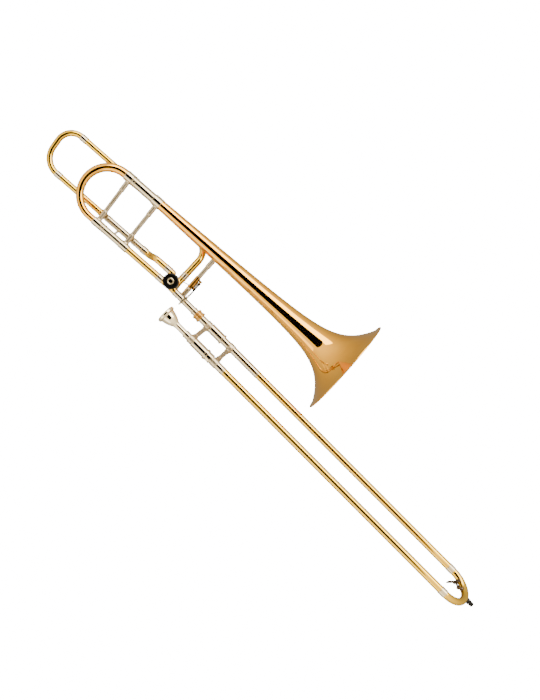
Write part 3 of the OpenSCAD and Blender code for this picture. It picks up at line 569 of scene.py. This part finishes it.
def add_brace(shape, a, b, rod, socket, reach, foot=2.0 * MM):
    """Adds a rod between two turned sockets, each with a ring at its mouth and a flared foot."""
    place, length = between(a, b)
    half = []
    for k in range(9):
        t = k / 8
        half.append((4.5 * MM * t, socket + foot * (1 - t) ** 2))
    half += [(reach - 3.2 * MM, socket)]
    half += bead(reach - 2.2 * MM, socket, 0.45 * MM, 1.8 * MM)
    half += [(reach - 0.5 * MM, socket), (reach, socket - 0.35 * MM), (reach, rod)]
    far = [(length - x, r) for x, r in reversed(half)]
    outline = [(0.0, 0.0)] + half + far + [(length, 0.0)]
    shape.lathe(place, outline, 48)


# ---- Bell section ----


def bell():
    """The whole bell, from both of its CAD nodes: stem, flare and the rim rolled round its wire."""
    roll, roll_reach, roll_steps = 1.5 * MM, 3.2 * MM, 32
    roll_start, roll_turn = 278, 325
    thinnest, joint_gap = 0.3 * MM, 0.1 * MM
    back = BELL.inverted()
    stations = {}
    for node in ("bell", "bell_stem"):
        for vertex in NODES[node].data.vertices:
            p = back @ vertex.co
            stations.setdefault(round(p.x, 5), []).append(math.hypot(p.y, p.z))
    joint = min((back @ v.co).x for v in NODES["bell"].data.vertices)
    stations = {x: r for x, r in stations.items()
                if max(r) - min(r) > thinnest and not 0 <= joint - x < joint_gap}
    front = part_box("bell")[1].x
    rim = max(max(radii) for radii in stations.values())
    plain = [x for x in sorted(stations) if x < front - roll_reach]
    outer = curve_through([Vector((x, max(stations[x]))) for x in plain], 3)
    inner = curve_through([Vector((x, min(stations[x]))) for x in plain], 3)
    rolled = []
    for k in range(roll_steps + 1):
        angle = math.radians(roll_start - roll_turn * k / roll_steps)
        rolled.append((front - roll + roll * math.cos(angle), rim - roll + roll * math.sin(angle)))
    outline = [(p.x, p.y) for p in outer] + rolled + [(p.x, p.y) for p in reversed(inner)]
    shape = Shape()
    shape.lathe(BELL, outline, 160)
    shape.make("bell_flare", "bell", GOLD_BRASS, "bell_stem")


bell()
remake("bell_tail_ring", "bell_tail_ferrule", NICKEL, BELL, edge=0.5 * MM)
remake("upper_slide_receiver", "upper_receiver", NICKEL, BELL)
remake("lower_slide_receiver", "lower_receiver", NICKEL, LOW_LEG)
remake("lower_leg_tube", "lower_leg", YELLOW_BRASS, LOW_LEG)
remake("upper_inner_legs", "tuning_inner_legs", NICKEL, BELL, LOW_LEG)
remake("tuning_ferrules", "tuning_bow_ferrules", NICKEL, BELL, LOW_LEG, edge=0.5 * MM)
remake("f_upper_receiver", "f_upper_sleeve", NICKEL, F_UPPER)
remake("f_lower_receiver", "f_lower_sleeve", NICKEL, F_LOWER)
remake("f_bow_rings", "f_bow_ferrules", NICKEL, F_UPPER, F_LOWER, edge=0.4 * MM)
remake("f_legs", "f_slide_legs", YELLOW_BRASS, F_UPPER, F_LOWER)
remake("neck_tube", "neckpipe", NICKEL, NECK)
remake("neck_cone", "neck_tenon", NICKEL, NECK)
remake("mouthpiece_holder", "mouthpiece_receiver", NICKEL, UPPER)
remake("lead_pipe", "leadpipe", YELLOW_BRASS, UPPER)
remake("inner_tubes", "inner_slide_tubes", CHROME, LOWER, UPPER)
remake("stockings", "slide_stockings", CHROME, LOWER, UPPER)
remake("outer_tubes", "outer_slide_tubes", YELLOW_BRASS, LOWER, UPPER)
remake("outer_tube_sleeves", "outer_sleeves", NICKEL, LOWER, UPPER)
remake("slide_bow_rings", "slide_bow_ferrules", NICKEL, LOWER, UPPER, edge=0.4 * MM)
remake("slide_socket", "slide_receiver", NICKEL, LOWER)
remake("barrels", "cork_barrels", NICKEL, LOWER, UPPER)
remake("corks", "barrel_corks", CORK, LOWER, UPPER)
remake("mouthpiece_cup", "mouthpiece", SILVER, UPPER, edge=0.8 * MM, steps=96)
remake("bumper_tip", "slide_bumper", RUBBER, CENTRE, edge=0.6 * MM)

# ---- Bent tubes ----

F_TUBE_R, F_TUBE_WALL = 6.7 * MM, 0.35 * MM
VALVE_TUBE_R, VALVE_TUBE_WALL = 7.25 * MM, 0.3 * MM
SLIDE_BOW_R, SLIDE_BOW_WALL = 7.775 * MM, 0.55 * MM
TUNING_WALL = 0.5 * MM
SLEEVE_MOUTH = -191 * MM  # X at which the F tubes enter their receivers


def bent(name, node, material, path, radius, wall, sides=48):
    """A bent tube along a path."""
    shape = Shape()
    shape.sweep(path, radius, wall, sides)
    return shape.make(name, node, material)


def tuning_crook():
    """The tuning bow: a half circle between two short legs, thinner towards the lower one."""
    centre, high_end, low_end = -317 * MM, -309 * MM, -297 * MM
    widest, thinning, steps = 9.75, 2.3, 56
    high, low = BELL.translation.y, LOW_LEG.translation.y
    mid, size = (high + low) / 2, (high - low) / 2
    path = [Vector((high_end, high, 0))]
    path += arc(at(centre, mid, 0), (0, 0), size, 90, 270, steps)
    path.append(Vector((low_end, low, 0)))

    def radius(t):
        turned = min(max((t * (steps + 2) - 1) / steps, 0), 1)
        return (widest - thinning * turned) * MM

    bent("tuning_crook", "tuning_bow", GOLD_BRASS, path, radius, TUNING_WALL, 56)


def f_crook():
    """The F bow: two quarter bends of unlike radius, with a straight run between them."""
    big, small, leg = 40.5 * MM, 32.4 * MM, 8 * MM
    low_x, high_x = -430 * MM, -440 * MM
    low_y, high_y, z = F_LOWER.translation.y, F_UPPER.translation.y, F_LOWER.translation.z
    low = Vector((low_x, low_y + big))
    high = Vector((high_x, high_y - small))
    run = high - low
    turn = math.degrees(math.atan2(run.y, run.x) - math.asin((big - small) / run.length)) + 90
    path = [Vector((low.x + leg, low_y, z))]
    path += arc(at(low.x, low.y, z), (0, 0), big, 270, turn, 28)
    path += arc(at(high.x, high.y, z), (0, 0), small, turn, 90, 30)
    path.append(Vector((high.x + leg, high_y, z)))
    bent("f_crook", "f_bow", YELLOW_BRASS, path, F_TUBE_R, F_TUBE_WALL)


def neck_crook():
    """The gooseneck: out of the valve, across, and a quarter bend into the upper F receiver."""
    x, bend = -92.8 * MM, 34 * MM
    valve_y = VALVE.translation.y
    drop, reach = -F_UPPER.translation.z, F_UPPER.translation.y - valve_y
    place = at(0, valve_y, 0) @ Matrix.Rotation(-math.atan2(drop, reach), 4, "X")
    run = math.hypot(drop, reach)
    path = [place @ Vector((x, y, 0)) for y in (22.5 * MM, 40 * MM, run - bend - 6 * MM)]
    path += arc(place, (x - bend, run - bend), bend, 0, 90, 32)
    path += [place @ Vector((px, run, 0)) for px in (-134 * MM, -160 * MM, SLEEVE_MOUTH)]
    bent("neck_crook", "gooseneck", YELLOW_BRASS, path, VALVE_TUBE_R, VALVE_TUBE_WALL)


def return_crook():
    """The return tube: an S bend from the lower F receiver up to the valve."""
    bend, start, port, steps = 18 * MM, -184 * MM, -126 * MM, 14
    low_y, z = F_LOWER.translation.y, F_LOWER.translation.z
    rise = Vector((3.8 * MM, -z))
    place = at(0, low_y, z) @ Matrix.Rotation(math.atan2(rise.y, rise.x), 4, "X")
    angle = math.acos(1 - rise.length / 2 / bend)
    end = start + 2 * bend * math.sin(angle)
    half = [(bend * math.sin(angle * k / steps), bend * (1 - math.cos(angle * k / steps)))
            for k in range(steps + 1)]
    path = [place @ Vector((SLEEVE_MOUTH, 0, 0))]
    path += [place @ Vector((start + x, y, 0)) for x, y in half]
    path += [place @ Vector((end - x, rise.length - y, 0)) for x, y in reversed(half[:-1])]
    path.append(place @ Vector((port, rise.length, 0)))
    bent("return_crook", "f_return_tube", YELLOW_BRASS, path, VALVE_TUBE_R, VALVE_TUBE_WALL)


def slide_crook():
    """The slide bow: a half circle between two short legs."""
    bend, leg = 710 * MM, 703 * MM
    half = GAP / 2
    path = [CENTRE @ Vector((leg, -half, 0))]
    path += arc(CENTRE, (bend, 0), half, -90, 90, 56)
    path.append(CENTRE @ Vector((leg, half, 0)))
    bent("slide_crook", "slide_bow", YELLOW_BRASS, path, SLIDE_BOW_R, SLIDE_BOW_WALL, 56)


tuning_crook()
f_crook()
neck_crook()
return_crook()
slide_crook()

# ---- Braces ----

ROD, SOCKET = 4.75, 5.5  # Radii of a main brace and its sockets, in mm
REACH = {"bell": 24, "inner": 16, "outer": 18}  # How far its sockets reach, in mm
# Radii at which braces seat on tubes and their rings
LOW_RING, TAIL_RING, NECK_SEAT = 8.73 * MM, 11.73 * MM, 7.28 * MM
LOW_FERRULE, HIGH_FERRULE = 8.93 * MM, 11.03 * MM
LOW_SLEEVE, HIGH_SLEEVE, F_SLEEVE = 8.13 * MM, 10.18 * MM, 7.03 * MM
INNER_STRAP, BARREL, BARREL_START, OUTER_STRAP = 9.3 * MM, 10.63 * MM, 15.08 * MM, 9.15 * MM


def add(piece, *shapes):
    """Adds the skins of shapes to a piece."""
    made = bmesh.new()
    made.from_mesh(piece.data)
    for shape in shapes:
        mesh = bpy.data.meshes.new("skin")
        mesh.from_pydata([tuple(v) for v in shape.verts], [], shape.faces)
        mesh.polygons.foreach_set("use_smooth", [True] * len(mesh.polygons))
        made.from_mesh(mesh)
    bmesh.ops.recalc_face_normals(made, faces=made.faces)
    made.to_mesh(piece.data)
    made.free()
    piece.data.set_sharp_from_angle(angle=math.radians(35))


def point(x, y, z=0.0, place=at()):
    return place @ Vector((x * MM, y * MM, z * MM))


def brace(name, node, ends, rod, socket, reach, cutters, foot=2.0 * MM):
    """One or more braces made as one piece and cut to seat on the tubes."""
    shape = Shape()
    for a, b in ends:
        add_brace(shape, a, b, rod * MM, socket * MM, reach * MM, foot)
    return cut(shape.make(name, node, SATIN_NICKEL), *cutters)


def straps(span, radius, bore, *places):
    """Bands round tubes, with a rolled rib at each edge."""
    shape = Shape()
    start, end = span[0] * MM, span[1] * MM
    for place in places:
        shape.lathe(place, sleeve_outline(start, end, radius * MM, bore * MM, [
            (start + 1.2 * MM, 0.4 * MM, 1.6 * MM), (end - 1.2 * MM, 0.4 * MM, 1.6 * MM)]), 64)
    return shape


brace("bell_stay", "bell_brace", [(point(-225, 12.4), point(-229.5, 109.5))],
      ROD, SOCKET, REACH["bell"],
      [bar(LOW_LEG, -0.26, -0.20, LOW_RING), bar(BELL, -0.26, -0.20, TAIL_RING)])
stem = Shape()
stem.lathe(BELL, [(-0.1, 0.0), (-0.1, 13.99 * MM), (-0.04, 15.69 * MM), (-0.04, 0.0)], 96)
brace("neck_stay", "valve_brace", [(point(-69, 6.4), point(-69, 109.5))],
      ROD, SOCKET, REACH["bell"], [bar(NECK, -0.1, -0.04, NECK_SEAT), stem])
brace("tuning_stay", "tuning_brace", [(point(-296.7, 12.4), point(-304, 110.5))],
      ROD, SOCKET, REACH["bell"],
      [bar(LOW_LEG, -0.33, -0.27, LOW_FERRULE), bar(BELL, -0.33, -0.27, HIGH_FERRULE)])
brace("f_posts", "f_sleeve_post",
      [(point(-256, 6.4), point(-256, 27, -23)), (point(-250, 118.5), point(-250, 117, -23))],
      2.5, 2.9, 4.5,
      [bar(LOW_LEG, -0.3, -0.2, LOW_SLEEVE), bar(BELL, -0.3, -0.2, HIGH_SLEEVE),
       bar(F_LOWER, -0.3, -0.2, F_SLEEVE), bar(F_UPPER, -0.3, -0.2, F_SLEEVE)], 1.0 * MM)
stay = brace("inner_stay", "inner_slide_brace",
             [(point(11, 5, 0, LOWER), point(11, 79, 0, LOWER))], ROD, SOCKET, REACH["inner"],
             [bar(LOWER, 0, BARREL_START, INNER_STRAP), bar(UPPER, 0, BARREL_START, INNER_STRAP),
              bar(LOWER, 15.05 * MM, 0.05, BARREL), bar(UPPER, 15.05 * MM, 0.05, BARREL)],
             1.6 * MM)
add(stay, straps((5.2, 14.8), 9.3, 8.32, LOWER, UPPER))
stay = brace("outer_stay", "outer_slide_brace",
             [(point(74, 6, 0, LOWER), point(74, 78, 0, LOWER))], ROD, SOCKET, REACH["outer"],
             [bar(LOWER, 0.05, 0.1, OUTER_STRAP), bar(UPPER, 0.05, 0.1, OUTER_STRAP)])
add(stay, straps((67.5, 80.5), 9.2, 8.22, LOWER, UPPER))

# ---- Valve cap and lock nut ----

UP = Matrix.Rotation(-math.pi / 2, 4, "Y")


def knurl(count, depth):
    """A fluted surface: narrow grooves round a knob."""
    return lambda x, angle: -depth * max(0.0, math.cos(count * angle)) ** 6


def cap():
    """The screw cap and the vent ring in its middle. Outlines are in mm."""
    cap_top = 30 * MM
    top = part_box("valve_cap")[1].z
    place = VALVE @ UP
    outline = [(21.02, 14.3), (21.02, 16.0), (21.5, 16.25)]
    outline += [(22.2, 16.25), (22.6, 15.7), (23.4, 15.7), (23.8, 16.25)]
    outline += [(27.6, 16.25), (28.6, 16.0), (29.4, 15.3), (29.9, 14.3)]
    outline += [(29.95, 12.5), (29.75, 10.5)]
    outline += [(29.7, 8.2), (29.05, 7.9), (29.0, 7.02), (28.0, 3.6), (28.0, 3.52)]
    outline += [(27.0, 3.52), (27.0, 14.3)]
    shift = top - cap_top
    shape = Shape()
    shape.lathe(place, [(x * MM + shift, r * MM) for x, r in outline], 96)
    shape.make("cap_body", "valve_cap", BLACK_CAP)
    ring = [(25.0, 2.5), (25.0, 3.5), (28.9, 3.5), (29.02, 3.6), (29.02, 6.6), (29.1, 7.0)]
    ring += [(29.5 + 1.1 * math.sin(math.radians(a)), 5.7 + 1.28 * math.cos(math.radians(a)))
             for a in range(0, 181, 20)]
    ring += [(28.9, 4.3), (28.6, 2.5)]
    shape = Shape()
    shape.lathe(place, [(x * MM + shift, r * MM) for x, r in ring], 72)
    shape.make("cap_ring", "cap_vent", NICKEL)


def nut():
    """The lock nut: two fluted collars with a waist between them. The outline is in mm."""
    start, end, plain = -25, -10, 0.4
    outline = [(start, 8.05), (start, 9.6)]
    outline += [(-24.2, 11.2), (-23.6, 11.45), (-21.2, 11.45), (-20.6, 11.2), (-20.0, 10.3)]
    outline += [(-15.0, 10.3), (-14.4, 11.2), (-13.8, 11.45), (-11.4, 11.45), (-10.8, 11.2)]
    outline += [(end, 10.4), (end, 9.6), (-22.5, 9.6), (-22.5, 8.05)]
    flutes = knurl(24, 0.55 * MM)

    def wave(x, angle):
        return flutes(x, angle) if (start + plain) * MM < x < (end - plain) * MM else 0.0

    shape = Shape()
    shape.lathe(NECK, [(x * MM, r * MM) for x, r in outline], 288, wave)
    shape.make("nut_body", "lock_nut", GOLD_TRIM, sharp=50)


cap()
nut()

# ---- Everything else keeps its CAD mesh ----

FINISH = {
    "gold_brass": GOLD_BRASS, "yellow_brass": YELLOW_BRASS, "nickel_silver": NICKEL,
    "gold_trim": GOLD_TRIM, "silver_plate": SILVER, "chrome_tube": CHROME, "steel": STEEL,
    "black_cap": BLACK_CAP, "black_rubber": RUBBER, "cork": CORK,
}
# The water key parts get the nickel painted dark brown as painted shade.
SHADED_KEY_NODES = ("water_key_mount", "water_key", "water_key_screw", "water_key_spring")
for node, thing in NODES.items():
    for slot in thing.material_slots:
        slot.material = PAINTED_SHADE_NICKEL if node in SHADED_KEY_NODES else FINISH[SLOT[node]]

# ---- Light, floor and camera ----


VIEW_FROM = (0.1359, 0.0443, 1.955)
VIEW_TURN = 41.35
LENS = 49.8
STAGE_X, STAGE_Y = 0.136, 0.044
FLOOR_DROP = 0.004
WHITE = 15.0


def camera():
    """A camera that looks straight down."""
    made = bpy.data.objects.new("camera", bpy.data.cameras.new("camera"))
    made.location = VIEW_FROM
    made.rotation_euler = (0, 0, math.radians(VIEW_TURN))
    made.data.lens = LENS
    made.data.clip_end = 50
    bpy.context.scene.collection.objects.link(made)
    bpy.context.scene.camera = made


def sheet(name, centre, width, depth, material):
    """A level card."""
    place = Matrix.Translation(centre)
    corners = [place @ Vector((sx * width / 2, sy * depth / 2, 0))
               for sx, sy in ((-1, -1), (1, -1), (1, 1), (-1, 1))]
    mesh = bpy.data.meshes.new(name)
    mesh.from_pydata([tuple(c) for c in corners], [], [(0, 1, 2, 3)])
    mesh.materials.append(material)
    card = bpy.data.objects.new(name, mesh)
    bpy.context.scene.collection.objects.link(card)
    return card


def floor_material():
    paint = Paint("floor", Roughness=0.9, Specular_IOR_Level=0.1, Emission_Strength=WHITE)
    paint.shader.inputs["Emission Color"].default_value = (1, 1, 1, 1)
    soft = paint.noise(paint.place((3, 3, 3)), 1.0, 2.0)
    light, deep = (0.93, 0.93, 0.93), (0.91, 0.91, 0.91)
    paint.use("Base Color", paint.blend(paint.spread(soft, 0.0, 1.0), light, deep))
    return paint.material


def glow(name, colour, strength):
    paint = Paint(name, Emission_Strength=strength)
    paint.shader.inputs["Base Color"].default_value = (0, 0, 0, 1)
    paint.shader.inputs["Emission Color"].default_value = (*colour, 1)
    paint.shader.inputs["Specular IOR Level"].default_value = 0.0
    return paint.material


def lamp(name, place, aim, power, width, depth, colour=(1, 1, 1)):
    data = bpy.data.lights.new(name, "AREA")
    data.shape = "RECTANGLE"
    data.size = width
    data.size_y = depth
    data.energy = power
    data.color = colour
    made = bpy.data.objects.new(name, data)
    made.location = place
    made.rotation_euler = (Vector(aim) - Vector(place)).to_track_quat("-Z", "Y").to_euler()
    bpy.context.scene.collection.objects.link(made)


def sky(top, side, under):
    """Studio surround: bright above, dimmer at the horizon, dimmest below."""
    world = bpy.data.worlds.new("studio")
    bpy.context.scene.world = world
    world.use_nodes = True
    nodes, links = world.node_tree.nodes, world.node_tree.links
    source = nodes.new("ShaderNodeTexCoord")
    split = nodes.new("ShaderNodeSeparateXYZ")
    ramp = nodes.new("ShaderNodeMapRange")
    ramp.inputs["From Min"].default_value = -1.0
    links.new(source.outputs["Generated"], split.inputs["Vector"])
    links.new(split.outputs["Z"], ramp.inputs["Value"])
    curve = nodes.new("ShaderNodeFloatCurve")
    points = curve.mapping.curves[0].points
    points[0].location = (0.0, under / top)
    points[1].location = (1.0, 1.0)
    points.new(0.5, side / top)
    curve.mapping.update()
    scale = nodes.new("ShaderNodeMath")
    scale.operation = "MULTIPLY"
    scale.inputs[1].default_value = top
    links.new(ramp.outputs["Result"], curve.inputs["Value"])
    links.new(curve.outputs["Value"], scale.inputs[0])
    back = nodes["Background"]
    back.inputs["Color"].default_value = (1.0, 0.89, 0.66, 1.0)
    links.new(scale.outputs["Value"], back.inputs["Strength"])


def dome(centre, radius, material):
    """White backdrop all round, seen only by the camera."""
    shape = Shape()
    place = at(*centre) @ Matrix.Rotation(-math.pi / 2, 4, "Y")
    outline = [(radius * math.sin(math.radians(a)), radius * math.cos(math.radians(a)))
               for a in range(-12, 90, 6)] + [(radius, 0.0)]
    shape.lathe(place, outline, 48)
    mesh = bpy.data.meshes.new("backdrop")
    mesh.from_pydata([tuple(v) for v in shape.verts], [], shape.faces)
    mesh.materials.append(material)
    made = bpy.data.objects.new("backdrop", mesh)
    bpy.context.scene.collection.objects.link(made)
    return made


def only(thing, *kinds):
    """Limits the rays that meet a staged thing."""
    for kind in ("camera", "diffuse", "glossy", "transmission", "shadow"):
        setattr(thing, "visible_" + kind, kind in kinds)


camera()
stage = (STAGE_X, STAGE_Y, cad_box[0][2] - FLOOR_DROP)
only(sheet("floor", stage, 15, 15, floor_material()), "camera")
only(dome(stage, 7.0, glow("backdrop", (1, 1, 1), WHITE)), "camera")
black = Paint("black_card", Roughness=1.0, Specular_IOR_Level=0.0).material
black.node_tree.nodes["Principled BSDF"].inputs["Base Color"].default_value = (0, 0, 0, 1)
only(sheet("black_card", (-0.09, 0.13, 2.0), 2.52, 2.2, black), "glossy")
sky(2.8, 1.25, 0.42)
lamp("softbox_right", (-0.2, 2.15, 1.9), (0.0, 0.1, 0), 190, 4.4, 1.9, (1.0, 0.94, 0.78))
lamp("softbox_left", (0.1, -2.4, 1.4), (0.1, 0.0, 0), 26, 3.0, 1.2, (1.0, 0.93, 0.78))
